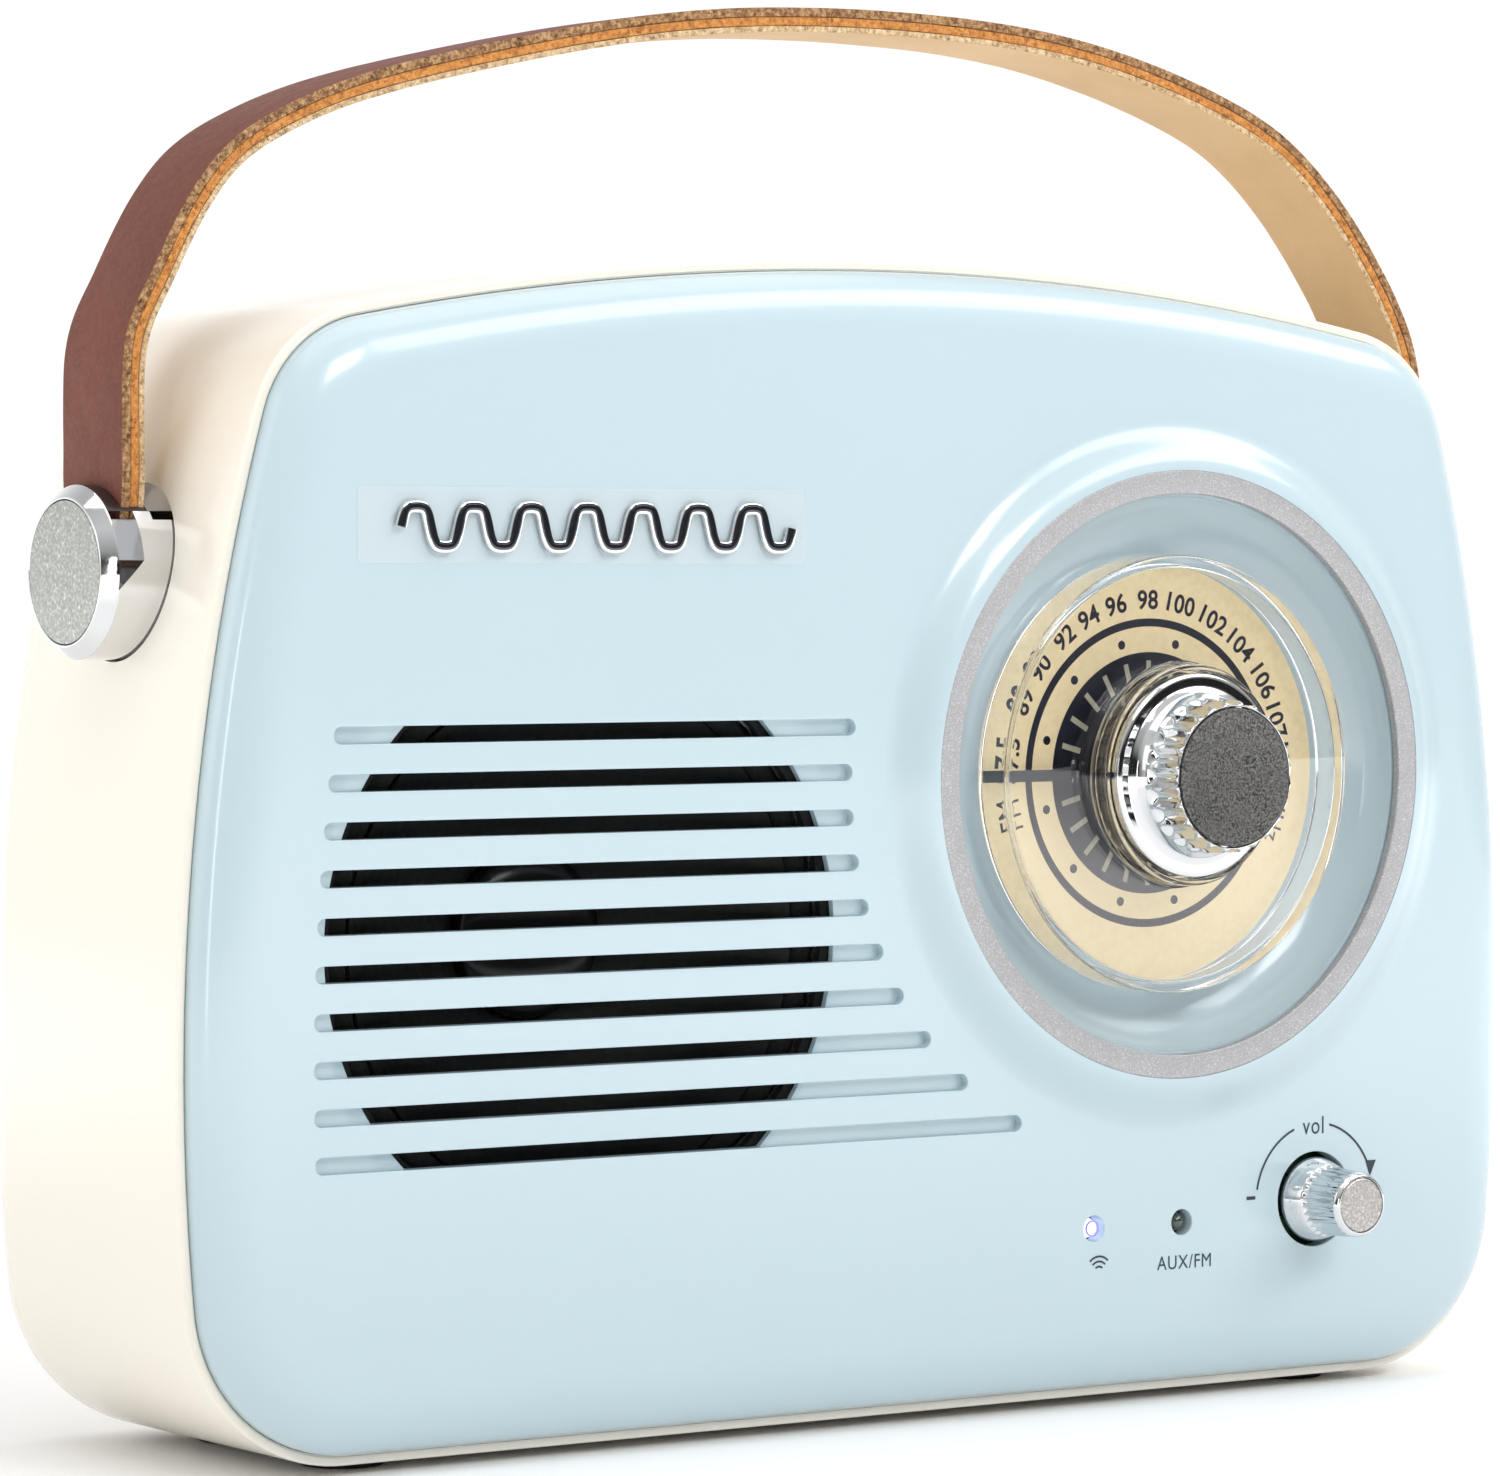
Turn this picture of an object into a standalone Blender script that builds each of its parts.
"""A retro portable radio with a leather carrying handle, modelled in Blender, in metres.

+X is to the right seen from the front, +Y runs to the back, +Z is up. The origin is on the floor under the
middle of the radio. A "depth" is a distance behind the flat front face, so what stands proud of it has a
negative one.
"""

from math import acos, atan2, cos, hypot, pi, radians, sin, sqrt

import bmesh
import bpy
from mathutils import Vector

MM = 0.001

# How many sides a round piece gets
FINE = 36
ROUND = 24
SMALL = 12

# Clearances
GAP = 0.3 * MM  # between pieces that touch or are fastened together
RUNNING_GAP = 0.4 * MM  # round a piece that moves

# Case outline, seen from the front
CASE_WIDTH = 236.2 * MM
CASE_TOP = 169.2 * MM
CASE_BASE = 1.5 * MM
WIDEST_HEIGHT = 57.0 * MM
SIDE_RADIUS = 330.0 * MM
TOP_RADIUS = 490.0 * MM
LOW_CORNER = 25.0 * MM
HIGH_CORNER = 20.0 * MM

# Case shell
CASE_DEPTH = 63.0 * MM
CASE_WALL = 2.6 * MM
BACK_WALL = 3.2 * MM
BACK_ROUNDING = 9.0 * MM
LIP_WALL = 1.3 * MM

# Front panel
PANEL_WALL = 2.6 * MM
PANEL_ROLL = 9.0 * MM  # how far in from its edge the panel rolls back
PANEL_EDGE_DEPTH = 5.0 * MM
PANEL_SKIRT = 4.0 * MM

# Tuning dial
DIAL_X = 48.85 * MM
DIAL_Z = 94.2 * MM
MOUND_RADIUS = 53.0 * MM
MOUND_PROUD = 3.0 * MM
RING_OUTER = 44.9 * MM
RING_INNER = 41.7 * MM
RING_THICKNESS = 1.4 * MM
PLATE_RADIUS = 34.2 * MM
PLATE_DEPTH = 5.0 * MM
PLATE_THICKNESS = 1.3 * MM
CUP_WALL = 2.0 * MM
DISC_RADIUS = 34.0 * MM
DISC_SETBACK = 1.5 * MM  # its front, behind the ring's front
DISC_THICKNESS = 3.6 * MM
COLLAR_RADIUS = 16.5 * MM
COLLAR_WALL = 1.0 * MM
COLLAR_HEIGHT = 3.5 * MM
POINTER_WIDTH = 1.7 * MM
POINTER_THICKNESS = 0.5 * MM
KNOB_FLANGE = 15.1 * MM
KNOB_GRIP = 12.0 * MM
KNOB_PROUD = 15.0 * MM
FLUTES = 24
FLUTE_DEPTH = 1.2 * MM
KNOB_CAP = 10.2 * MM
SHAFT_RADIUS = 3.0 * MM

# Speaker
SPEAKER_X = -54.6 * MM
SPEAKER_Z = 72.8 * MM
SPEAKER_OPENING = 42.6 * MM
SPEAKER_FRAME = 45.5 * MM
MAGNET_RADIUS = 27.0 * MM
COIL_RADIUS = 11.9 * MM
CONE_TRAVEL = 1.5 * MM

# Louvres over the speaker
SLOT_COUNT = 10
SLOT_PITCH = 6.5 * MM
SLOT_HEIGHT = 2.4 * MM
SLOT_DEPTH = 1.5 * MM
RELIEF_OVERLAP = 0.2 * MM  # how far the opening behind the louvres reaches into them
TOP_SLOT_Z = 102.0 * MM
SLOT_EDGE = 18.4 * MM  # from the case's side to the slots' outer ends
SLOT_SWEEP = 57.1 * MM  # radius of the circle that their inner ends lie on
SLOT_SWEEP_X = 47.2 * MM  # its centre, level with the dial

# Volume control and pilot lights
VOLUME_X = 76.9 * MM
VOLUME_Z = 29.2 * MM
VOLUME_HOLE = 6.95 * MM
VOLUME_RIM = 4.95 * MM
VOLUME_PROUD = 11.0 * MM
VOLUME_CAP = 3.9 * MM
POT_RADIUS = 8.5 * MM
LIGHT_Z = 27.15 * MM
LIGHT_XS = {"pairing_light": 34.5 * MM, "source_light": 51.1 * MM}
LIGHT_HOLE = 1.95 * MM
LIGHT_RADIUS = 1.5 * MM

# Handle
PIVOT_DEPTH = 31.0 * MM
PIVOT_Z = 124.0 * MM
STRAP_WIDTH = 17.0 * MM
STRAP_LAYER = 1.0 * MM
STRAP_TOP = 207.0 * MM
BOSS_RADIUS = 12.1 * MM
BOSS_CHAMFER = 1.9 * MM
BOSS_ROOT = 6.3 * MM  # inboard of the strap
BOSS_FLANGE = 4.3 * MM  # outboard of the strap
BOSS_CAP = 9.9 * MM
BOSS_CAP_THICKNESS = 0.8 * MM
PIVOT_SCREW = 2.7 * MM
BUSH_WALL = 2.6 * MM
BUSH_FLOOR = 3.2 * MM
# The strap's outer line, as shares of its half span and of its rise above the pivot
STRAP_SHAPE = (
    (-1.0, -0.036), (-1.0, 0.2), (-1.0, 0.38), (-0.975, 0.49), (-0.93, 0.6), (-0.862, 0.71), (-0.779, 0.78),
    (-0.647, 0.852), (-0.373, 0.94), (-0.17, 0.985), (0.02, 1.0), (0.2, 0.998), (0.36, 0.982), (0.52, 0.94),
    (0.69, 0.864), (0.79, 0.785), (0.872, 0.675), (0.93, 0.57), (0.97, 0.475), (0.995, 0.37), (1.0, 0.2),
    (1.0, -0.036),
)

# Fastenings, feet and battery compartment
POST_RADIUS = 3.6 * MM
POST_XZ = ((-99.0 * MM, 22.0 * MM), (99.0 * MM, 22.0 * MM), (-93.0 * MM, 141.0 * MM), (93.0 * MM, 141.0 * MM))
SCREW_RADIUS = 1.2 * MM
SCREW_LENGTH = 14.0 * MM
SCREW_HEAD = 2.9 * MM
SCREW_HEAD_HEIGHT = 1.4 * MM
FOOT_RADIUS = 6.0 * MM
FOOT_SPREAD = 85.0 * MM
FOOT_DEPTHS = (17.0 * MM, 45.0 * MM)
FOOT_RECESS = 1.2 * MM
BATTERY_LOW = (-93.0 * MM, 16.0 * MM)
BATTERY_HIGH = (-25.0 * MM, 36.5 * MM)
BATTERY_DEPTH = 30.0 * MM
DOOR_LEDGE = 2.3 * MM
DOOR_TAB = 8.0 * MM
DOOR_THICKNESS = 1.7 * MM
DOOR_SCREW_HEAD = 2.4 * MM
DOOR_SCREW_LENGTH = 5.0 * MM

# Sockets and switch in the back
SOCKET_Z = 40.0 * MM
JACK_X = 28.0 * MM
JACK_RADIUS = 4.0 * MM
JACK_BORE = 1.8 * MM
SWITCH_X = 50.0 * MM
SWITCH_TRAVEL = 3.6 * MM
SLIDER_SIZE = (4.4 * MM, 3.8 * MM)
CHARGE_X = 72.0 * MM
CHARGE_SIZE = (9.4 * MM, 3.8 * MM)

# Telescopic antenna
ANTENNA_X = 76.0 * MM
ANTENNA_Z = 145.0 * MM
ANTENNA_STAND = 6.4 * MM  # from the case's back to the rod's axis
TUBE_RADII = (3.5 * MM, 2.65 * MM, 1.8 * MM, 0.95 * MM)
TUBE_WALL = 0.5 * MM
TUBE_LENGTH = 120.0 * MM
TUBE_START = 6.0 * MM  # from the tilt pin to the first tube
TUBE_STEP = 1.5 * MM  # how far each section sticks out of the one outside it
TIP_RADIUS = 3.2 * MM
TIP_LENGTH = 6.0 * MM
TONGUE = 3.2 * MM
EAR_WALL = 1.8 * MM
TILT_PIN = 1.0 * MM

# Places that follow from the sizes above
HALF_WIDTH = CASE_WIDTH / 2
BACK_REACH = CASE_DEPTH + ANTENNA_STAND + TUBE_RADII[0]
FACE_Y = (KNOB_PROUD - BACK_REACH) / 2  # so that the whole radio is centred front to back
PIVOT_Y = FACE_Y + PIVOT_DEPTH
STRAP_THICKNESS = 3 * STRAP_LAYER + 2 * GAP
PANEL_INSET = LIP_WALL + GAP

scene = bpy.context.scene
for old in list(bpy.data.objects):
    bpy.data.objects.remove(old, do_unlink=True)
PARTS = bpy.data.collections.new("portable_radio")
CUTTERS = bpy.data.collections.new("cutters")
scene.collection.children.link(PARTS)
scene.collection.children.link(CUTTERS)


# Helpers ---------------------------------------------------------------------------------------------


def add(name, mesh, location=(0, 0, 0), rotation=(0, 0, 0), parent=None):
    """A new object in the radio's collection."""
    obj = bpy.data.objects.new(name, mesh)
    PARTS.objects.link(obj)
    obj.location = location
    obj.rotation_euler = rotation
    obj.parent = parent
    return obj


def helper(obj):
    """Turns a new object into a cutter or another guide, which isn't a part."""
    PARTS.objects.unlink(obj)
    CUTTERS.objects.link(obj)
    obj.hide_render = True
    obj.display_type = "WIRE"
    return obj


def finish(obj, colour, roughness, metallic=0.0, alpha=1.0):
    """Gives the object its own Principled material."""
    material = bpy.data.materials.new(obj.name + "_finish")
    material.use_nodes = True
    shader = material.node_tree.nodes["Principled BSDF"]
    shader.inputs["Base Color"].default_value = (*colour, 1.0)
    shader.inputs["Roughness"].default_value = roughness
    shader.inputs["Metallic"].default_value = metallic
    shader.inputs["Alpha"].default_value = alpha
    obj.data.materials.append(material)
    return obj


def box(name, low, high, turns_about=None):
    """A cuboid between two corners, with its origin at its middle or on the axis that it turns about."""
    low, high = Vector(low), Vector(high)
    origin = Vector(turns_about) if turns_about else (low + high) / 2
    size = high - low
    shape = bmesh.new()
    bmesh.ops.create_cube(shape, size=1.0)
    bmesh.ops.scale(shape, vec=size, verts=shape.verts)
    bmesh.ops.translate(shape, vec=(low + high) / 2 - origin, verts=shape.verts)
    mesh = bpy.data.meshes.new(name)
    shape.to_mesh(mesh)
    shape.free()
    return add(name, mesh, origin)


def soften(obj, width, segments=1):
    """Rounds every sharp edge of a plain solid."""
    bevel = obj.modifiers.new("rounded_edges", "BEVEL")
    bevel.width = width
    bevel.segments = segments
    bevel.limit_method = "ANGLE"
    return obj


def turned(name, profile, location, rotation, segments=ROUND, closed=False, parent=None):
    """Turns (radius, height) points about the local Z axis, from the top down the outer side."""
    mesh = bpy.data.meshes.new(name)
    count = len(profile)
    edges = [(i, i + 1) for i in range(count - 1)]
    if closed:
        edges.append((count - 1, 0))
    mesh.from_pydata([(radius, 0.0, height) for radius, height in profile], edges, [])
    obj = add(name, mesh, location, rotation, parent)
    screw = obj.modifiers.new("turn", "SCREW")
    screw.steps = segments
    screw.render_steps = segments
    screw.use_merge_vertices = True
    screw.merge_threshold = 1e-6
    screw.use_smooth_shade = True
    return obj


def faced(name, profile, x, z, segments=ROUND, closed=False):
    """A turned piece whose axis runs front to back: (radius, depth) points, from its front down its side."""
    points = [(radius, -depth) for radius, depth in profile]
    return turned(name, points, (x, FACE_Y, z), (radians(90), 0, 0), segments, closed)


def sided(name, profile, side, segments=ROUND, closed=False, parent=None):
    """A turned piece on the handle's axis: points are (radius, distance from the radio's middle)."""
    at = (0, 0, 0) if parent else (0, PIVOT_Y, PIVOT_Z)
    return turned(name, profile, at, (0, side * radians(90), 0), segments, closed, parent)


def drum(radius, front, back):
    """The profile of a plain cylinder."""
    return [(0, front), (radius, front), (radius, back), (0, back)]


def tube(outer, inner, front, back):
    """The closed profile of a plain ring."""
    return [(inner, front), (outer, front), (outer, back), (inner, back)]


def loft(name, rings, location=(0, 0, 0)):
    """Joins closed rings of as many points each, and caps the first and the last."""
    shape = bmesh.new()
    rows = [[shape.verts.new(point) for point in ring] for ring in rings]
    count = len(rows[0])
    for row, following in zip(rows, rows[1:]):
        for i in range(count):
            j = (i + 1) % count
            shape.faces.new((row[i], row[j], following[j], following[i]))
    shape.faces.new(rows[0])
    shape.faces.new(rows[-1])
    bmesh.ops.recalc_face_normals(shape, faces=shape.faces)
    mesh = bpy.data.meshes.new(name)
    shape.to_mesh(mesh)
    shape.free()
    return add(name, mesh, location)


def combine(target, operation, others, label):
    """Cuts the others from the target, joins them to it or keeps what is common."""
    if operation == "INTERSECT":
        step = target.modifiers.new(label, "BOOLEAN")
        step.object = others[0]
    else:
        group = bpy.data.collections.new(target.name + "_" + label)
        CUTTERS.children.link(group)
        for other in others:
            group.objects.link(other)
        step = target.modifiers.new(label, "BOOLEAN")
        step.operand_type = "COLLECTION"
        step.collection = group
    step.operation = operation
    step.solver = "EXACT"
    return target


def arc(centre, radius, start, end, steps):
    """Points on an arc from one angle to another, its last one left out."""
    angles = [start + (end - start) * i / steps for i in range(steps)]
    return [(centre[0] + radius * cos(a), centre[1] + radius * sin(a)) for a in angles]


# Case outline ----------------------------------------------------------------------------------------

SIDE_CENTRE = (HALF_WIDTH - SIDE_RADIUS, WIDEST_HEIGHT)
TOP_CENTRE = (0.0, CASE_TOP - TOP_RADIUS)


def low_corner_centre():
    """The low corner touches the flat base and the side's arc from inside."""
    z = CASE_BASE + LOW_CORNER
    reach = SIDE_RADIUS - LOW_CORNER
    return SIDE_CENTRE[0] + sqrt(reach**2 - (z - SIDE_CENTRE[1]) ** 2), z


def high_corner_centre():
    """The high corner touches the side's arc and the top's arc from inside."""
    reach_side = SIDE_RADIUS - HIGH_CORNER
    reach_top = TOP_RADIUS - HIGH_CORNER
    along_x = TOP_CENTRE[0] - SIDE_CENTRE[0]
    along_z = TOP_CENTRE[1] - SIDE_CENTRE[1]
    apart = hypot(along_x, along_z)
    turn = acos((reach_side**2 + apart**2 - reach_top**2) / (2 * reach_side * apart))
    angle = atan2(along_z, along_x) + turn
    return SIDE_CENTRE[0] + reach_side * cos(angle), SIDE_CENTRE[1] + reach_side * sin(angle)


LOW_CENTRE = low_corner_centre()
HIGH_CENTRE = high_corner_centre()
LOW_ANGLE = atan2(LOW_CENTRE[1] - SIDE_CENTRE[1], LOW_CENTRE[0] - SIDE_CENTRE[0])
HIGH_ANGLE = atan2(HIGH_CENTRE[1] - SIDE_CENTRE[1], HIGH_CENTRE[0] - SIDE_CENTRE[0])
TOP_ANGLE = atan2(HIGH_CENTRE[1] - TOP_CENTRE[1], HIGH_CENTRE[0] - TOP_CENTRE[0])


def outline(inset):
    """The case's outline as (x, z) points, moved inwards by inset: the arcs keep their centres."""
    right = arc(LOW_CENTRE, LOW_CORNER - inset, -pi / 2, LOW_ANGLE, 6)
    right += arc(SIDE_CENTRE, SIDE_RADIUS - inset, LOW_ANGLE, HIGH_ANGLE, 8)
    right += arc(HIGH_CENTRE, HIGH_CORNER - inset, HIGH_ANGLE, TOP_ANGLE, 5)
    right += arc(TOP_CENTRE, TOP_RADIUS - inset, TOP_ANGLE, pi / 2, 6)
    left = [(-x, z) for x, z in reversed(right)]
    return right + [(0.0, CASE_TOP - inset)] + left


def outline_ring(inset, depth):
    return [(x, FACE_Y + depth, z) for x, z in outline(inset)]


def half_width_at(z):
    """Half the case's width at a height on its side's arc."""
    return SIDE_CENTRE[0] + sqrt(SIDE_RADIUS**2 - (z - WIDEST_HEIGHT) ** 2)


# Front panel -----------------------------------------------------------------------------------------

PANEL_BACK = PANEL_EDGE_DEPTH + PANEL_SKIRT
RING_SEAT = RING_OUTER + GAP
CUP_MOUTH = RING_INNER - GAP
SEAT_DEPTH = RING_THICKNESS + GAP - MOUND_PROUD
CUP_RADIUS = PLATE_RADIUS + RUNNING_GAP
CUP_FLOOR = PLATE_DEPTH + PLATE_THICKNESS + GAP
CUP_HOLE = PLATE_RADIUS - 5.2 * MM
DIAL_BORE = MOUND_RADIUS - 9.5 * MM


def panel_shell():
    """The rolled plate: rings from the inside of its face, round the skirt, to its front face."""
    rings = [
        outline_ring(PANEL_INSET + PANEL_ROLL, PANEL_WALL),
        outline_ring(PANEL_INSET + PANEL_WALL + PANEL_ROLL / 3, PANEL_WALL + PANEL_EDGE_DEPTH / 5),
        outline_ring(PANEL_INSET + PANEL_WALL, PANEL_EDGE_DEPTH + PANEL_WALL / 3),
        outline_ring(PANEL_INSET + PANEL_WALL, PANEL_BACK),
        outline_ring(PANEL_INSET, PANEL_BACK),
    ]
    steps = 4
    for i in range(steps + 1):
        turn = pi / 2 * i / steps
        inset = PANEL_INSET + PANEL_ROLL * (1 - cos(turn))
        rings.append(outline_ring(inset, PANEL_EDGE_DEPTH * (1 - sin(turn))))
    return loft("front_panel", rings)


def dial_cup():
    """The round mound and the bowl in it that the dial sits in, turned in one piece."""
    steps = 4
    mound = []
    for i in range(steps):
        share = i / steps
        radius = RING_SEAT + (MOUND_RADIUS - RING_SEAT) * share
        mound.append((radius, -MOUND_PROUD * (1 + cos(pi * share)) / 2))
    outside = [
        (MOUND_RADIUS, PANEL_WALL / 8),
        (MOUND_RADIUS - 1.0 * MM, PANEL_WALL * 0.75),
        (DIAL_BORE, PANEL_WALL * 0.75),
        (CUP_RADIUS + CUP_WALL, CUP_FLOOR + CUP_WALL / 2),
        (CUP_RADIUS, CUP_FLOOR + CUP_WALL),
        (CUP_HOLE, CUP_FLOOR + CUP_WALL),
        (CUP_HOLE, CUP_FLOOR),
        (CUP_RADIUS, CUP_FLOOR),
    ]
    bowl = []
    for i in range(steps + 1):
        turn = pi / 2 * (1 - i / steps)
        radius = CUP_RADIUS + (CUP_MOUTH - CUP_RADIUS) * cos(turn)
        bowl.append((radius, SEAT_DEPTH + (PLATE_DEPTH - SEAT_DEPTH) * sin(turn)))
    return faced("dial_cup", mound + outside + bowl + [(RING_SEAT, SEAT_DEPTH)], DIAL_X, DIAL_Z, FINE, True)


def slot_ends(index):
    """Where a louvre starts and ends: inside the case's side, and on the circle round the dial."""
    z = TOP_SLOT_Z - index * SLOT_PITCH
    outer = -(half_width_at(z) - SLOT_EDGE)
    inner = SLOT_SWEEP_X - sqrt(SLOT_SWEEP**2 - (z - DIAL_Z) ** 2)
    return outer, inner, z


def slot_cutter(index):
    """A flat bar with round ends, as a filled outline made solid."""
    outer, inner, z = slot_ends(index)
    radius = SLOT_HEIGHT / 2
    line = arc((inner - radius, z), radius, -pi / 2, pi / 2, 4) + [(inner - radius, z + radius)]
    line += arc((outer + radius, z), radius, pi / 2, 3 * pi / 2, 4) + [(outer + radius, z - radius)]
    rings = [[(x, FACE_Y + depth, height) for x, height in line] for depth in (-2 * SLOT_DEPTH, SLOT_DEPTH)]
    return helper(loft(f"slot_cutter_{index + 1}", rings))


def front_panel():
    panel = panel_shell()
    bore = helper(faced("dial_bore", drum(DIAL_BORE, -MOUND_PROUD, PANEL_BACK), DIAL_X, DIAL_Z, FINE))
    combine(panel, "DIFFERENCE", [bore], "dial_bore")
    posts = [helper(dial_cup())]
    for i, (x, z) in enumerate(POST_XZ):
        post = drum(POST_RADIUS, PANEL_WALL / 2, CASE_DEPTH - BACK_WALL - GAP)
        posts.append(helper(faced(f"post_{i + 1}", post, x, z, SMALL)))
    combine(panel, "UNION", posts, "cup_and_posts")
    cutters = [slot_cutter(i) for i in range(SLOT_COUNT)]
    relief = drum(SPEAKER_OPENING, SLOT_DEPTH - RELIEF_OVERLAP, PANEL_BACK)
    cutters.append(helper(faced("speaker_relief", relief, SPEAKER_X, SPEAKER_Z, FINE)))
    volume = drum(VOLUME_HOLE, -PANEL_WALL, PANEL_BACK)
    cutters.append(helper(faced("volume_hole", volume, VOLUME_X, VOLUME_Z, ROUND)))
    light = drum(LIGHT_HOLE, -PANEL_WALL, PANEL_BACK)
    for name, x in LIGHT_XS.items():
        cutters.append(helper(faced(name + "_hole", light, x, LIGHT_Z, SMALL)))
    for i, (x, z) in enumerate(POST_XZ):
        pilot = drum(SCREW_RADIUS + GAP, CASE_DEPTH - BACK_WALL - SCREW_LENGTH, CASE_DEPTH)
        cutters.append(helper(faced(f"post_pilot_{i + 1}", pilot, x, z, SMALL)))
    combine(panel, "DIFFERENCE", cutters, "openings")
    return finish(panel, (0.58, 0.74, 0.80), 0.25)


# Rear case -------------------------------------------------------------------------------------------

STRAP_IN = half_width_at(PIVOT_Z - STRAP_WIDTH / 2) + RUNNING_GAP
STRAP_OUT = STRAP_IN + STRAP_THICKNESS
BOSS_IN = STRAP_IN - BOSS_ROOT
BOSS_OUT = STRAP_OUT + BOSS_FLANGE
POCKET_RADIUS = BOSS_RADIUS + 0.5 * MM
BUSH_IN = BOSS_IN - GAP - BUSH_FLOOR
CASE_INSIDE = CASE_DEPTH - BACK_WALL
DOOR_LOW = (BATTERY_LOW[0] - GAP - DOOR_LEDGE, BATTERY_LOW[1] - GAP - DOOR_LEDGE)
DOOR_HIGH = (BATTERY_HIGH[0] + GAP + DOOR_LEDGE + DOOR_TAB, BATTERY_HIGH[1] + GAP + DOOR_LEDGE)
DOOR_SCREW_XZ = (DOOR_HIGH[0] - DOOR_TAB / 2 - GAP, (DOOR_LOW[1] + DOOR_HIGH[1]) / 2)
ANTENNA_STUB = 5.0 * MM
HEAD_POCKET = SCREW_HEAD_HEIGHT + GAP


def case_shell():
    """One wall all round: rings from the outer back face, over the lip, to the inner back face."""
    rings = []
    steps = 4
    for i in range(steps + 1):
        turn = pi / 2 * (1 - i / steps)
        inset = BACK_ROUNDING * (1 - cos(turn))
        rings.append(outline_ring(inset, CASE_DEPTH - BACK_ROUNDING * (1 - sin(turn))))
    lip = PANEL_EDGE_DEPTH + 0.6 * MM
    inner_rounding = BACK_ROUNDING - CASE_WALL
    rings += [
        outline_ring(0.0, lip + 0.5 * MM),
        outline_ring(0.5 * MM, lip),
        outline_ring(LIP_WALL, lip),
        outline_ring(LIP_WALL, PANEL_BACK + GAP),
        outline_ring(CASE_WALL, PANEL_BACK + GAP),
        outline_ring(CASE_WALL, CASE_INSIDE - inner_rounding),
        outline_ring(CASE_WALL + inner_rounding * 0.3, CASE_INSIDE - inner_rounding * 0.3),
        outline_ring(CASE_WALL + inner_rounding, CASE_INSIDE),
    ]
    return loft("rear_case", rings)


def bush_cup(side, core):
    """The round housing inside the wall that the handle's boss turns in, trimmed to the case's own shape."""
    cup = sided(f"bush_cup_{side:+d}", drum(POCKET_RADIUS + BUSH_WALL, HALF_WIDTH, BUSH_IN), side)
    return helper(combine(cup, "INTERSECT", [core], "trim"))


def back_box(name, centre, size, front, back):
    """A cutter through the back, from its middle, its width and height, and the depths it spans."""
    low = (centre[0] - size[0] / 2, FACE_Y + front, centre[1] - size[1] / 2)
    high = (centre[0] + size[0] / 2, FACE_Y + back, centre[1] + size[1] / 2)
    return box(name, low, high)


def rear_case():
    case = case_shell()
    ends = (PANEL_BACK, CASE_INSIDE - BACK_ROUNDING)
    core = helper(loft("bush_core", [outline_ring(CASE_WALL / 2, depth) for depth in ends]))
    combine(case, "UNION", [bush_cup(side, core) for side in (-1, 1)], "bushes")
    inside = CASE_INSIDE - BACK_WALL
    through = CASE_DEPTH + BACK_WALL
    beyond = HALF_WIDTH + BOSS_RADIUS
    within = BUSH_IN - BUSH_FLOOR
    bore = PIVOT_SCREW + RUNNING_GAP
    pocket = [(0, beyond), (POCKET_RADIUS, beyond), (POCKET_RADIUS, BOSS_IN - GAP), (bore, BOSS_IN - GAP),
              (bore, within), (0, within)]
    cutters = [sided(f"boss_pocket_{side:+d}", pocket, side) for side in (-1, 1)]
    shank = SCREW_RADIUS + GAP
    head = SCREW_HEAD + GAP
    seat = CASE_DEPTH - HEAD_POCKET
    hole = [(0, inside), (shank, inside), (shank, seat), (head, seat), (head, through), (0, through)]
    for i, (x, z) in enumerate(POST_XZ):
        cutters.append(faced(f"case_screw_hole_{i + 1}", hole, x, z, SMALL))
    size = (BATTERY_HIGH[0] - BATTERY_LOW[0] + 2 * GAP, BATTERY_HIGH[1] - BATTERY_LOW[1] + 2 * GAP)
    middle = ((BATTERY_LOW[0] + BATTERY_HIGH[0]) / 2, (BATTERY_LOW[1] + BATTERY_HIGH[1]) / 2)
    cutters.append(back_box("battery_opening", middle, size, inside, through))
    size = (DOOR_HIGH[0] - DOOR_LOW[0], DOOR_HIGH[1] - DOOR_LOW[1])
    middle = ((DOOR_LOW[0] + DOOR_HIGH[0]) / 2, (DOOR_LOW[1] + DOOR_HIGH[1]) / 2)
    cutters.append(back_box("door_rebate", middle, size, CASE_DEPTH - DOOR_THICKNESS - GAP, through))
    cutters.append(faced("door_screw_hole", drum(shank, inside, through), *DOOR_SCREW_XZ, SMALL))
    slot = (SLIDER_SIZE[0] + 2 * (SWITCH_TRAVEL + RUNNING_GAP), SLIDER_SIZE[1] + 2 * RUNNING_GAP)
    cutters.append(back_box("switch_slot", (SWITCH_X, SOCKET_Z), slot, inside, through))
    cutters.append(faced("jack_hole", drum(JACK_RADIUS + GAP, inside, through), JACK_X, SOCKET_Z, SMALL))
    hole = (CHARGE_SIZE[0] + 2 * GAP, CHARGE_SIZE[1] + 2 * GAP)
    cutters.append(back_box("charge_hole", (CHARGE_X, SOCKET_Z), hole, inside, through))
    hole = drum(ANTENNA_STUB + GAP, inside, through)
    cutters.append(faced("antenna_hole", hole, ANTENNA_X, ANTENNA_Z, ROUND))
    for name, at in foot_places():
        recess = drum(FOOT_RADIUS + GAP, CASE_BASE + FOOT_RECESS, -CASE_BASE)
        cutters.append(turned(name + "_recess", recess, (*at, 0.0), (0, 0, 0), SMALL))
    combine(case, "DIFFERENCE", [helper(cutter) for cutter in cutters], "openings")
    return finish(case, (0.93, 0.87, 0.76), 0.3)


def foot_places():
    """The four feet's names and (x, y) places."""
    places = [(side * FOOT_SPREAD, FACE_Y + depth) for depth in FOOT_DEPTHS for side in (-1, 1)]
    return [(f"foot_{i + 1}", place) for i, place in enumerate(places)]


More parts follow.
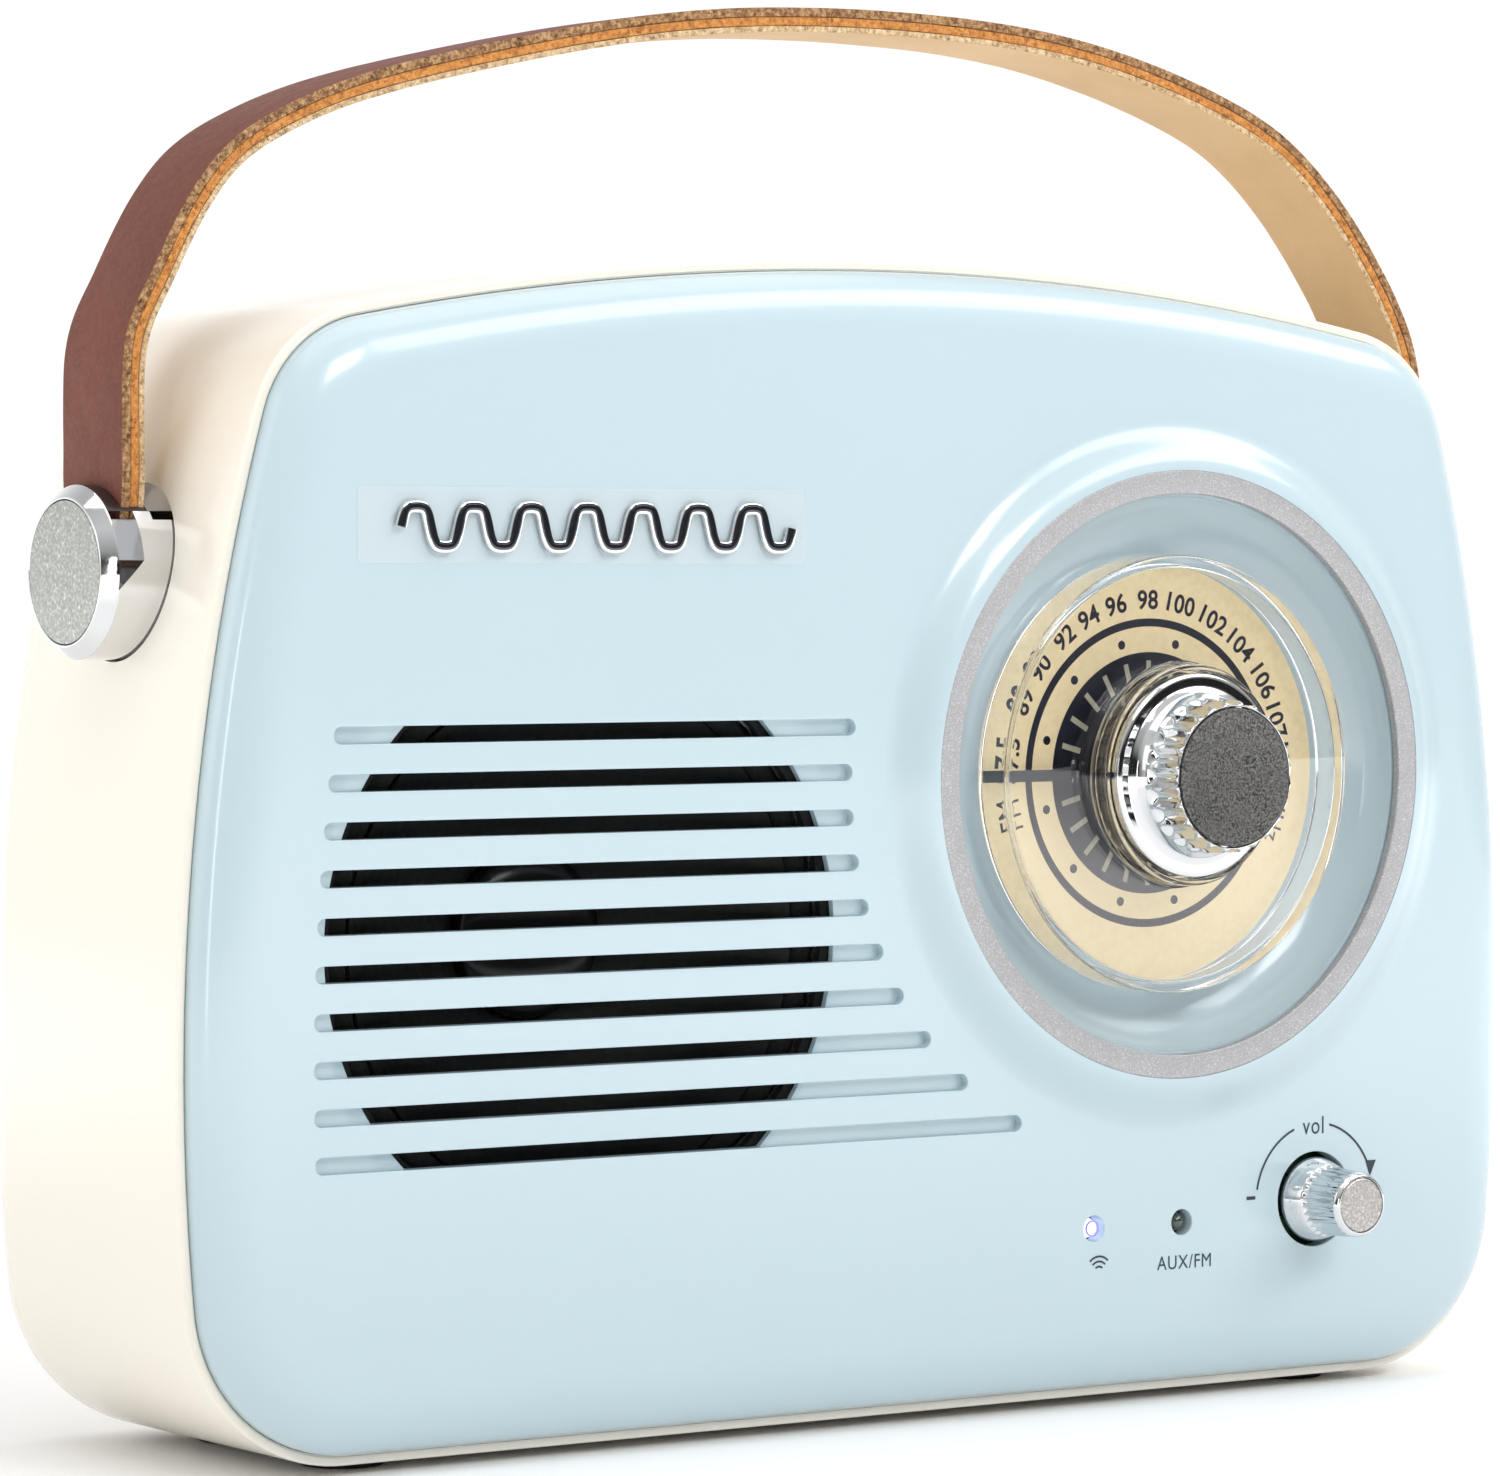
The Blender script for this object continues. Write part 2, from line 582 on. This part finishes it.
def feet():
    for name, at in foot_places():
        top = CASE_BASE + FOOT_RECESS - GAP
        profile = [(0, top), (FOOT_RADIUS, top), (FOOT_RADIUS, 0.4 * MM), (FOOT_RADIUS - 0.4 * MM, 0), (0, 0)]
        finish(turned(name, profile, (*at, 0.0), (0, 0, 0), SMALL), (0.06, 0.06, 0.06), 0.85)


def screw(name, x, z, head_front, length, head_radius):
    """A cheese-head screw driven from the back, in the place its head bottoms at."""
    back = head_front + SCREW_HEAD_HEIGHT
    profile = [(0, head_front - length), (SCREW_RADIUS, head_front - length), (SCREW_RADIUS, head_front),
               (head_radius, head_front), (head_radius, back), (0, back)]
    return finish(faced(name, profile, x, z, SMALL), (0.55, 0.55, 0.55), 0.35, 1.0)


def battery_door():
    low = (DOOR_LOW[0] + GAP, FACE_Y + CASE_DEPTH - DOOR_THICKNESS, DOOR_LOW[1] + GAP)
    high = (DOOR_HIGH[0] - GAP, FACE_Y + CASE_DEPTH, DOOR_HIGH[1] - GAP)
    door = box("battery_door", low, high)
    hole = drum(DOOR_SCREW_HEAD + GAP, CASE_DEPTH - 2 * DOOR_THICKNESS, CASE_DEPTH + DOOR_THICKNESS)
    combine(door, "DIFFERENCE", [helper(faced("door_hole", hole, *DOOR_SCREW_XZ, SMALL))], "screw_hole")
    finish(door, (0.92, 0.86, 0.75), 0.35)
    seat = CASE_DEPTH - DOOR_THICKNESS
    screw("battery_door_screw", *DOOR_SCREW_XZ, seat, DOOR_SCREW_LENGTH, DOOR_SCREW_HEAD)
    pack_back = FACE_Y + seat - 2 * GAP
    pack_low = (BATTERY_LOW[0], pack_back - BATTERY_DEPTH, BATTERY_LOW[1])
    pack_high = (BATTERY_HIGH[0], pack_back, BATTERY_HIGH[1])
    finish(soften(box("battery_pack", pack_low, pack_high), 1.5 * MM, 2), (0.1, 0.25, 0.5), 0.5)


def case_screws():
    seat = CASE_DEPTH - SCREW_HEAD_HEIGHT
    for i, (x, z) in enumerate(POST_XZ):
        screw(f"case_screw_{i + 1}", x, z, seat, SCREW_LENGTH - BACK_WALL, SCREW_HEAD)


# Dial and tuning knob --------------------------------------------------------------------------------

DISC_FRONT = DISC_SETBACK - MOUND_PROUD
DISC_BACK = DISC_FRONT + DISC_THICKNESS
KNOB_BACK = DISC_FRONT - GAP
HUB_RADIUS = COLLAR_RADIUS - COLLAR_WALL - RUNNING_GAP - 2.0 * MM
KNOB_RIM = -KNOB_PROUD + 0.4 * MM
CAP_SEAT = KNOB_RIM + 0.9 * MM


def circle(radius, depth, points):
    turns = [2 * pi * i / points for i in range(points)]
    return [(radius * cos(a), depth, radius * sin(a)) for a in turns]


def fluted(radius, depth, points):
    """A ring whose radius dips once in each flute, with a point on each crest and in each flute."""
    turns = [2 * pi * i / points for i in range(points)]
    reach = [radius - FLUTE_DEPTH * (1 + cos(FLUTES * a)) / 2 for a in turns]
    return [(r * cos(a), depth, r * sin(a)) for r, a in zip(reach, turns)]


def tuning_knob():
    count = 2 * FLUTES
    front = -MOUND_PROUD - 4.0 * MM
    bore = SHAFT_RADIUS + GAP
    rings = [
        circle(bore, KNOB_RIM + 2.4 * MM, count),
        circle(bore, KNOB_BACK, count),
        circle(HUB_RADIUS, KNOB_BACK, count),
        circle(HUB_RADIUS, KNOB_BACK - 1.8 * MM, count),
        circle(KNOB_FLANGE, front + 2.2 * MM, count),
        circle(KNOB_FLANGE, front + 0.4 * MM, count),
        circle(KNOB_FLANGE - 0.6 * MM, front, count),
        circle(KNOB_GRIP + 0.4 * MM, front + 0.8 * MM, count),
        fluted(KNOB_GRIP, front + 0.2 * MM, count),
        fluted(KNOB_GRIP, KNOB_RIM + 0.6 * MM, count),
        circle(KNOB_CAP + 0.7 * MM, KNOB_RIM, count),
        circle(KNOB_CAP + GAP, KNOB_RIM, count),
        circle(KNOB_CAP + GAP, CAP_SEAT, count),
    ]
    knob = loft("tuning_knob", rings, (DIAL_X, FACE_Y, DIAL_Z))
    finish(knob, (0.85, 0.86, 0.88), 0.08, 1.0)
    top = -KNOB_PROUD
    cap = [(0, top + 0.5 * MM), (KNOB_CAP - 2.4 * MM, top + 0.3 * MM), (KNOB_CAP - 0.4 * MM, top),
           (KNOB_CAP, top + 0.2 * MM), (KNOB_CAP, CAP_SEAT - GAP), (0, CAP_SEAT - GAP)]
    finish(faced("tuning_knob_cap", cap, DIAL_X, DIAL_Z, FINE), (0.12, 0.12, 0.13), 0.5, 0.6)


def dial():
    ring = tube(RING_OUTER, RING_INNER, -MOUND_PROUD, -MOUND_PROUD + RING_THICKNESS)
    finish(faced("dial_trim_ring", ring, DIAL_X, DIAL_Z, FINE, True), (0.62, 0.61, 0.62), 0.35, 0.8)
    plate = tube(PLATE_RADIUS, SHAFT_RADIUS + 1.0 * MM, PLATE_DEPTH, PLATE_DEPTH + PLATE_THICKNESS)
    finish(faced("dial_scale_plate", plate, DIAL_X, DIAL_Z, FINE, True), (0.86, 0.72, 0.48), 0.5)
    hole = SHAFT_RADIUS + GAP
    inner = COLLAR_RADIUS - COLLAR_WALL
    rim = DISC_FRONT - COLLAR_HEIGHT
    disc = [(hole, DISC_FRONT), (inner, DISC_FRONT), (inner, rim), (COLLAR_RADIUS, rim),
            (COLLAR_RADIUS, DISC_FRONT), (DISC_RADIUS, DISC_FRONT), (DISC_RADIUS, DISC_BACK), (hole, DISC_BACK)]
    finish(faced("tuning_disc", disc, DIAL_X, DIAL_Z, FINE, True), (0.95, 0.97, 0.96), 0.05, 0.0, 0.25)
    near = FACE_Y + DISC_BACK + GAP
    low = (DIAL_X - DISC_RADIUS + 0.5 * MM, near, DIAL_Z - POINTER_WIDTH / 2)
    high = (DIAL_X - COLLAR_RADIUS + 1.0 * MM, near + POINTER_THICKNESS, DIAL_Z + POINTER_WIDTH / 2)
    finish(box("tuning_pointer", low, high, (DIAL_X, FACE_Y, DIAL_Z)), (0.05, 0.05, 0.09), 0.4)
    tuning_knob()
    tuner_front = CUP_FLOOR + CUP_WALL + 3.4 * MM
    shaft = drum(SHAFT_RADIUS, KNOB_RIM + 2.4 * MM + GAP, tuner_front - GAP)
    finish(faced("tuning_shaft", shaft, DIAL_X, DIAL_Z, SMALL), (0.6, 0.6, 0.6), 0.3, 1.0)
    half = 12.0 * MM
    low = (DIAL_X - half, FACE_Y + tuner_front, DIAL_Z - half)
    high = (DIAL_X + half, FACE_Y + BOARD_FRONT - GAP, DIAL_Z + half)
    finish(soften(box("tuning_capacitor", low, high), 0.8 * MM), (0.75, 0.75, 0.72), 0.5)


# Volume control, lights and boards -------------------------------------------------------------------

BOARD_THICKNESS = 1.6 * MM
BOARD_FRONT = 30.0 * MM
PANEL_BOARD_FRONT = 7.5 * MM


def volume_control():
    front = -VOLUME_PROUD
    base = VOLUME_HOLE - 0.55 * MM
    bore = SHAFT_RADIUS + GAP
    barrel = base - 0.6 * MM
    seat = front + 0.8 * MM
    shaft_end = front + 2.6 * MM
    profile = [(0, seat), (VOLUME_CAP + GAP, seat), (VOLUME_CAP + GAP, front), (VOLUME_RIM - 0.2 * MM, front),
               (VOLUME_RIM, front + 0.3 * MM), (barrel, front + 1.6 * MM), (barrel, -1.4 * MM),
               (base, -0.8 * MM), (base, 0.6 * MM), (bore, 0.6 * MM), (bore, shaft_end), (0, shaft_end)]
    finish(faced("volume_knob", profile, VOLUME_X, VOLUME_Z, ROUND), (0.85, 0.86, 0.88), 0.1, 1.0)
    cap = drum(VOLUME_CAP, front - 0.1 * MM, seat - GAP)
    finish(faced("volume_knob_cap", cap, VOLUME_X, VOLUME_Z, ROUND), (0.6, 0.6, 0.6), 0.45, 1.0)
    pot_front = PANEL_BOARD_FRONT + BOARD_THICKNESS + GAP
    shaft = drum(SHAFT_RADIUS, shaft_end + GAP, pot_front - GAP)
    finish(faced("volume_shaft", shaft, VOLUME_X, VOLUME_Z, SMALL), (0.6, 0.6, 0.6), 0.3, 1.0)
    finish(faced("volume_pot", drum(POT_RADIUS, pot_front, pot_front + 8.6 * MM), VOLUME_X, VOLUME_Z, ROUND),
           (0.35, 0.33, 0.3), 0.4, 0.8)


def lights():
    glow = {"pairing_light": (0.8, 0.88, 1.0), "source_light": (0.35, 0.4, 0.36)}
    for name, x in LIGHT_XS.items():
        flange = LIGHT_RADIUS + 0.4 * MM
        back = PANEL_BOARD_FRONT - GAP
        rim = back - 1.0 * MM
        profile = [(0, 0.5 * MM), (LIGHT_RADIUS * 0.55, 0.75 * MM), (LIGHT_RADIUS * 0.9, 1.4 * MM),
                   (LIGHT_RADIUS, 2.1 * MM), (LIGHT_RADIUS, rim), (flange, rim), (flange, back), (0, back)]
        finish(faced(name, profile, x, LIGHT_Z, SMALL), glow[name], 0.1)


def boards():
    low = (LIGHT_XS["pairing_light"] - 7.0 * MM, FACE_Y + PANEL_BOARD_FRONT, VOLUME_Z - 12.0 * MM)
    high = (VOLUME_X + 12.0 * MM, FACE_Y + PANEL_BOARD_FRONT + BOARD_THICKNESS, VOLUME_Z + 9.0 * MM)
    board = box("control_board", low, high)
    hole = drum(SHAFT_RADIUS + RUNNING_GAP, 0.0, 2 * PANEL_BOARD_FRONT)
    combine(board, "DIFFERENCE", [helper(faced("pot_hole", hole, VOLUME_X, VOLUME_Z, SMALL))], "pot_hole")
    finish(board, (0.05, 0.22, 0.1), 0.5)
    low = (DIAL_X - 50.0 * MM, FACE_Y + BOARD_FRONT, DIAL_Z - 36.0 * MM)
    high = (DIAL_X + 42.0 * MM, FACE_Y + BOARD_FRONT + BOARD_THICKNESS, DIAL_Z + 36.0 * MM)
    finish(box("main_board", low, high), (0.05, 0.22, 0.1), 0.5)


# Speaker ---------------------------------------------------------------------------------------------


def speaker():
    """From front to back: gasket, basket, cone with its cap and coil, magnet and pole."""
    dark = (0.03, 0.03, 0.03)
    frame_front = PANEL_WALL + 1.6 * MM
    frame_back = frame_front + 22.8 * MM
    mouth = SPEAKER_FRAME - 4.3 * MM
    gasket = tube(SPEAKER_FRAME, mouth + 0.3 * MM, PANEL_WALL + GAP, frame_front - GAP)
    finish(faced("speaker_gasket", gasket, SPEAKER_X, SPEAKER_Z, ROUND, True), dark, 0.95)
    flange_back = frame_front + 1.3 * MM
    well = COIL_RADIUS + 2.1 * MM
    basket = [(mouth, frame_front), (SPEAKER_FRAME, frame_front), (SPEAKER_FRAME, flange_back),
              (mouth + 1.6 * MM, flange_back), (MAGNET_RADIUS, frame_back - 2.0 * MM),
              (MAGNET_RADIUS, frame_back), (well, frame_back), (well, frame_back - 1.4 * MM),
              (MAGNET_RADIUS - 1.6 * MM, frame_back - 1.4 * MM), (mouth, frame_front + 1.0 * MM)]
    finish(faced("speaker_basket", basket, SPEAKER_X, SPEAKER_Z, ROUND, True), (0.2, 0.2, 0.2), 0.5, 0.7)
    cone_rim = mouth - 4.2 * MM
    surround = tube(mouth - GAP, cone_rim + GAP, frame_front, frame_front + 1.0 * MM)
    finish(faced("speaker_surround", surround, SPEAKER_X, SPEAKER_Z, ROUND, True), dark, 0.9)
    neck = frame_front + 13.6 * MM
    throat = COIL_RADIUS + 0.4 * MM
    cone = [(cone_rim - 0.8 * MM, frame_front + 0.2 * MM), (cone_rim, frame_front + 0.2 * MM),
            (cone_rim, frame_front + 0.9 * MM), (throat, neck + 0.8 * MM), (throat, neck)]
    finish(faced("speaker_cone", cone, SPEAKER_X, SPEAKER_Z, ROUND, True), (0.05, 0.05, 0.05), 0.8)
    cap_back = neck - 0.6 * MM
    cap = [(0, cap_back - 3.4 * MM), (COIL_RADIUS * 0.5, cap_back - 2.6 * MM),
           (COIL_RADIUS, cap_back - 0.6 * MM), (COIL_RADIUS, cap_back), (0, cap_back)]
    finish(faced("speaker_dust_cap", cap, SPEAKER_X, SPEAKER_Z, ROUND), (0.05, 0.05, 0.05), 0.6)
    coil = tube(COIL_RADIUS, COIL_RADIUS - 0.8 * MM, cap_back + GAP, frame_back + 3.0 * MM)
    finish(faced("speaker_voice_coil", coil, SPEAKER_X, SPEAKER_Z, ROUND, True), (0.7, 0.35, 0.15), 0.4, 0.8)
    magnet_back = frame_back + GAP + 10.0 * MM
    magnet = tube(MAGNET_RADIUS, COIL_RADIUS + 0.6 * MM, frame_back + GAP, magnet_back)
    finish(faced("speaker_magnet", magnet, SPEAKER_X, SPEAKER_Z, ROUND, True), (0.1, 0.1, 0.11), 0.6)
    pole = COIL_RADIUS - 1.4 * MM
    yoke = [(0, cap_back + 2 * CONE_TRAVEL), (pole, cap_back + 2 * CONE_TRAVEL), (pole, magnet_back + GAP),
            (MAGNET_RADIUS - 4.0 * MM, magnet_back + GAP), (MAGNET_RADIUS - 4.0 * MM, magnet_back + 3.0 * MM),
            (0, magnet_back + 3.0 * MM)]
    finish(faced("speaker_yoke", yoke, SPEAKER_X, SPEAKER_Z, ROUND), (0.5, 0.5, 0.5), 0.4, 1.0)


# Switch and sockets ----------------------------------------------------------------------------------


def switch_and_sockets():
    at = (SWITCH_X, SOCKET_Z)
    slider_root = CASE_INSIDE - 0.8 * MM
    slider = back_box("source_switch_slider", at, SLIDER_SIZE, slider_root, CASE_DEPTH + 1.0 * MM)
    finish(soften(slider, 0.4 * MM), (0.04, 0.04, 0.04), 0.5)
    size = (16.0 * MM, 8.0 * MM)
    body = back_box("source_switch_body", at, size, slider_root - 6.5 * MM, slider_root - GAP)
    finish(body, (0.6, 0.6, 0.6), 0.4, 0.8)
    jack = [(JACK_BORE, CASE_INSIDE - 10.0 * MM), (JACK_RADIUS, CASE_INSIDE - 10.0 * MM),
            (JACK_RADIUS, CASE_DEPTH - 0.4 * MM), (JACK_BORE, CASE_DEPTH - 0.4 * MM)]
    finish(faced("aux_jack", jack, JACK_X, SOCKET_Z, SMALL, True), (0.05, 0.05, 0.05), 0.4)
    at = (CHARGE_X, SOCKET_Z)
    socket = back_box("charging_socket", at, CHARGE_SIZE, CASE_INSIDE - 5.0 * MM, CASE_DEPTH - 0.5 * MM)
    mouth = (CHARGE_SIZE[0] - 1.4 * MM, CHARGE_SIZE[1] - 1.4 * MM)
    cavity = back_box("charging_cavity", at, mouth, CASE_INSIDE - 3.0 * MM, CASE_DEPTH + 1.0 * MM)
    combine(socket, "DIFFERENCE", [helper(cavity)], "mouth")
    finish(socket, (0.7, 0.7, 0.7), 0.3, 1.0)


# Antenna ---------------------------------------------------------------------------------------------

ROD_DEPTH = CASE_DEPTH + ANTENNA_STAND
ROD_Y = FACE_Y + ROD_DEPTH


def empty(name, location):
    """A joint's axis, which the moving pieces hang from."""
    return add(name, None, location)


def antenna_base():
    foot_flange = 7.0 * MM
    foot_back = CASE_DEPTH + GAP + 1.0 * MM
    spigot = 2.0 * MM
    bore = spigot + GAP
    seat = CASE_DEPTH + GAP
    foot = [(bore, CASE_INSIDE - 3.0 * MM), (ANTENNA_STUB, CASE_INSIDE - 3.0 * MM), (ANTENNA_STUB, seat),
            (foot_flange, seat), (foot_flange, foot_back), (bore, foot_back)]
    finish(faced("antenna_foot", foot, ANTENNA_X, ANTENNA_Z, ROUND, True), (0.05, 0.05, 0.05), 0.4)
    floor = ROD_DEPTH - TONGUE
    inner = TONGUE / 2 + GAP
    outer = inner + EAR_WALL
    rim = foot_flange - 1.6 * MM
    barrel = [(0, CASE_INSIDE - 2.0 * MM), (spigot, CASE_INSIDE - 2.0 * MM), (spigot, foot_back + GAP),
              (rim, foot_back + GAP), (rim, floor - 0.1 * MM), (0, floor - 0.1 * MM)]
    swivel = faced("antenna_swivel", barrel, ANTENNA_X, ANTENNA_Z, ROUND)
    ears = []
    for side in (-1, 1):
        z = sorted((ANTENNA_Z + side * inner, ANTENNA_Z + side * outer))
        low = (ANTENNA_X - TONGUE, FACE_Y + floor - 0.6 * MM, z[0])
        high = (ANTENNA_X + TONGUE, ROD_Y + TONGUE, z[1])
        ears.append(helper(box(f"ear_{side:+d}", low, high)))
    pin = drum(TILT_PIN, outer - 0.4 * MM, -outer + 0.4 * MM)
    pin = turned("tilt_pin", pin, (ANTENNA_X, ROD_Y, ANTENNA_Z), (0, 0, 0), SMALL)
    combine(swivel, "UNION", [*ears, helper(pin)], "fork")
    return finish(swivel, (0.8, 0.8, 0.82), 0.15, 1.0)


def antenna_sections():
    """Tubes nested about one axis, each open at its free end, and a solid rod with a tip in the last."""
    hinge = empty("antenna_tilt_axis", (ANTENNA_X, ROD_Y, ANTENNA_Z))
    turn = (0, radians(-90), 0)
    tongue_end = TONGUE - 0.1 * MM
    first = turned("antenna_tube_1", hollow(0), (0, 0, 0), turn, SMALL, parent=hinge)
    low = (-TUBE_START - TUBE_WALL, -tongue_end, -TONGUE / 2)
    blade = helper(box("tongue_blade", low, (0, tongue_end, TONGUE / 2)))
    eye = helper(turned("tongue_eye", drum(tongue_end, TONGUE / 2, -TONGUE / 2), (0, 0, 0), (0, 0, 0), SMALL))
    pin_hole = drum(TILT_PIN + GAP, TONGUE, -TONGUE)
    pin_hole = helper(turned("tongue_pin_hole", pin_hole, (0, 0, 0), (0, 0, 0), SMALL))
    for guide in (blade, eye, pin_hole):
        guide.location = Vector(guide.location) + hinge.location
    combine(first, "UNION", [blade, eye], "tongue")
    combine(first, "DIFFERENCE", [pin_hole], "pin_hole")
    finish(first, (0.8, 0.8, 0.82), 0.12, 1.0)
    for i in (1, 2):
        section = turned(f"antenna_tube_{i + 1}", hollow(i), (0, 0, 0), turn, SMALL, parent=hinge)
        finish(section, (0.8, 0.8, 0.82), 0.12, 1.0)
    start, end = tube_span(3)
    tip = end + 1.0 * MM
    tip_end = tip + TIP_LENGTH
    edge = 0.8 * MM
    rod = [(0, tip_end), (TIP_RADIUS - edge, tip_end), (TIP_RADIUS, tip_end - edge), (TIP_RADIUS, tip + edge),
           (TIP_RADIUS - edge, tip), (TUBE_RADII[3], tip), (TUBE_RADII[3], start), (0, start)]
    finish(turned("antenna_rod", rod, (0, 0, 0), turn, SMALL, parent=hinge), (0.8, 0.8, 0.82), 0.12, 1.0)


def tube_span(index):
    """Where a section starts and ends along the rod, closed up."""
    start = TUBE_START + index * (TUBE_WALL + RUNNING_GAP)
    end = TUBE_START + TUBE_LENGTH + index * TUBE_STEP
    return start, end


def hollow(index):
    """The profile of a tube with a closed root: its bore clears the section inside it."""
    start, end = tube_span(index)
    radius = TUBE_RADII[index]
    bore = radius - TUBE_WALL
    floor = start + TUBE_WALL
    return [(0, floor), (bore, floor), (bore, end), (radius, end), (radius, start), (0, start)]


# Handle ----------------------------------------------------------------------------------------------


def smooth_line(knots, steps):
    """A Catmull-Rom curve through the knots: each span leaves along the chord of its neighbours."""
    points = []
    for i in range(len(knots) - 1):
        before, start, end = knots[max(i - 1, 0)], knots[i], knots[i + 1]
        after = knots[min(i + 2, len(knots) - 1)]
        for step in range(steps):
            t = step / steps
            points.append(tuple(
                b + ((c - a) * t + (2 * a - 5 * b + 4 * c - d) * t**2 + (3 * b - a - 3 * c + d) * t**3) / 2
                for a, b, c, d in zip(before, start, end, after)
            ))
    return points + [knots[-1]]


def inward(line, distance):
    """The line moved towards the inside of the handle, at right angles to itself."""
    moved = []
    for i, (x, z) in enumerate(line):
        ahead, behind = line[min(i + 1, len(line) - 1)], line[max(i - 1, 0)]
        along = Vector((ahead[0] - behind[0], ahead[1] - behind[1])).normalized()
        moved.append((x + along.y * distance, z - along.x * distance))
    return moved


def strap_layer(name, line, nearer, farther, parent):
    """A flat outline between two lines, extruded to the strap's width."""
    edge = inward(line, nearer) + inward(line, farther)[::-1]
    curve = bpy.data.curves.new(name, "CURVE")
    curve.dimensions = "2D"
    curve.fill_mode = "BOTH"
    curve.extrude = STRAP_WIDTH / 2
    spline = curve.splines.new("POLY")
    spline.points.add(len(edge) - 1)
    for point, (x, z) in zip(spline.points, edge):
        point.co = (x, z, 0.0, 1.0)
    spline.use_cyclic_u = True
    return add(name, curve, rotation=(radians(90), 0, 0), parent=parent)


def handle():
    pivot = empty("handle_pivot", (0, PIVOT_Y, PIVOT_Z))
    rise = STRAP_TOP - PIVOT_Z
    line = smooth_line([(x * STRAP_OUT, z * rise) for x, z in STRAP_SHAPE], 2)
    step = STRAP_LAYER + GAP
    layers = (("strap_outer_leather", (0.16, 0.05, 0.03), 0), ("strap_core", (0.6, 0.28, 0.06), 1),
              ("strap_lining", (0.72, 0.5, 0.25), 2))
    for name, colour, index in layers:
        layer = strap_layer(name, line, index * step, index * step + STRAP_LAYER, pivot)
        finish(layer, colour, 0.8)
    for side, label in ((-1, "left"), (1, "right")):
        boss_and_screw(side, label, pivot)


def boss_and_screw(side, label, pivot):
    seat = BOSS_OUT - BOSS_CAP_THICKNESS
    blind = STRAP_IN - 1.0 * MM
    bore = PIVOT_SCREW + GAP
    rim = BOSS_RADIUS - BOSS_CHAMFER + 0.4 * MM
    profile = [(0, seat), (BOSS_CAP + GAP, seat), (BOSS_CAP + GAP, BOSS_OUT), (rim, BOSS_OUT),
               (BOSS_RADIUS, BOSS_OUT - BOSS_CHAMFER), (BOSS_RADIUS, BOSS_IN), (bore, BOSS_IN), (bore, blind),
               (0, blind)]
    boss = sided(f"handle_boss_{label}", profile, side, ROUND, parent=pivot)
    x = sorted((side * (STRAP_IN - GAP), side * (STRAP_OUT + GAP)))
    depth = -STRAP_SHAPE[0][1] * (STRAP_TOP - PIVOT_Z) + GAP
    half = STRAP_WIDTH / 2 + GAP
    low = (x[0], PIVOT_Y - half, PIVOT_Z - depth)
    high = (x[1], PIVOT_Y + half, PIVOT_Z + 2 * BOSS_RADIUS)
    slot = helper(box(f"strap_slot_{label}", low, high))
    combine(boss, "DIFFERENCE", [slot], "strap_slot")
    finish(boss, (0.85, 0.86, 0.88), 0.08, 1.0)
    cap = sided(f"handle_boss_cap_{label}", drum(BOSS_CAP, BOSS_OUT, seat + GAP), side, FINE, parent=pivot)
    finish(cap, (0.5, 0.5, 0.5), 0.5, 1.0)
    washer_in = BUSH_IN - GAP - 1.3 * MM
    washer = tube(PIVOT_SCREW + 3.2 * MM, bore, BUSH_IN - GAP, washer_in)
    finish(sided(f"pivot_washer_{label}", washer, side, ROUND, True), (0.7, 0.7, 0.7), 0.3, 1.0)
    head_top = washer_in - GAP
    head_end = head_top - 2.8 * MM
    head = PIVOT_SCREW + 2.3 * MM
    head = [(0, blind - GAP), (PIVOT_SCREW, blind - GAP), (PIVOT_SCREW, head_top), (head, head_top),
            (head, head_end), (0, head_end)]
    finish(sided(f"pivot_screw_{label}", head, side, SMALL, parent=pivot), (0.6, 0.6, 0.6), 0.3, 1.0)


# Badge -----------------------------------------------------------------------------------------------


def badge():
    """A plain chrome ornament: a long bar with a round boss at its middle."""
    middle = (-53.9 * MM, 130.4 * MM)
    length, height, thick = 67.0 * MM, 2.2 * MM, 1.1 * MM
    low = (middle[0] - length / 2, FACE_Y - GAP - thick, middle[1] - height / 2)
    high = (middle[0] + length / 2, FACE_Y - GAP, middle[1] + height / 2)
    bar = soften(box("badge", low, high), 0.4 * MM)
    disc = faced("badge_boss", drum(3.4 * MM, -GAP - thick - 0.3 * MM, -GAP - 0.1 * MM), *middle, ROUND)
    combine(bar, "UNION", [helper(disc)], "boss")
    finish(bar, (0.7, 0.7, 0.72), 0.15, 1.0)


front_panel()
rear_case()
battery_door()
case_screws()
feet()
dial()
volume_control()
lights()
boards()
speaker()
switch_and_sockets()
antenna_base()
antenna_sections()
handle()
badge()
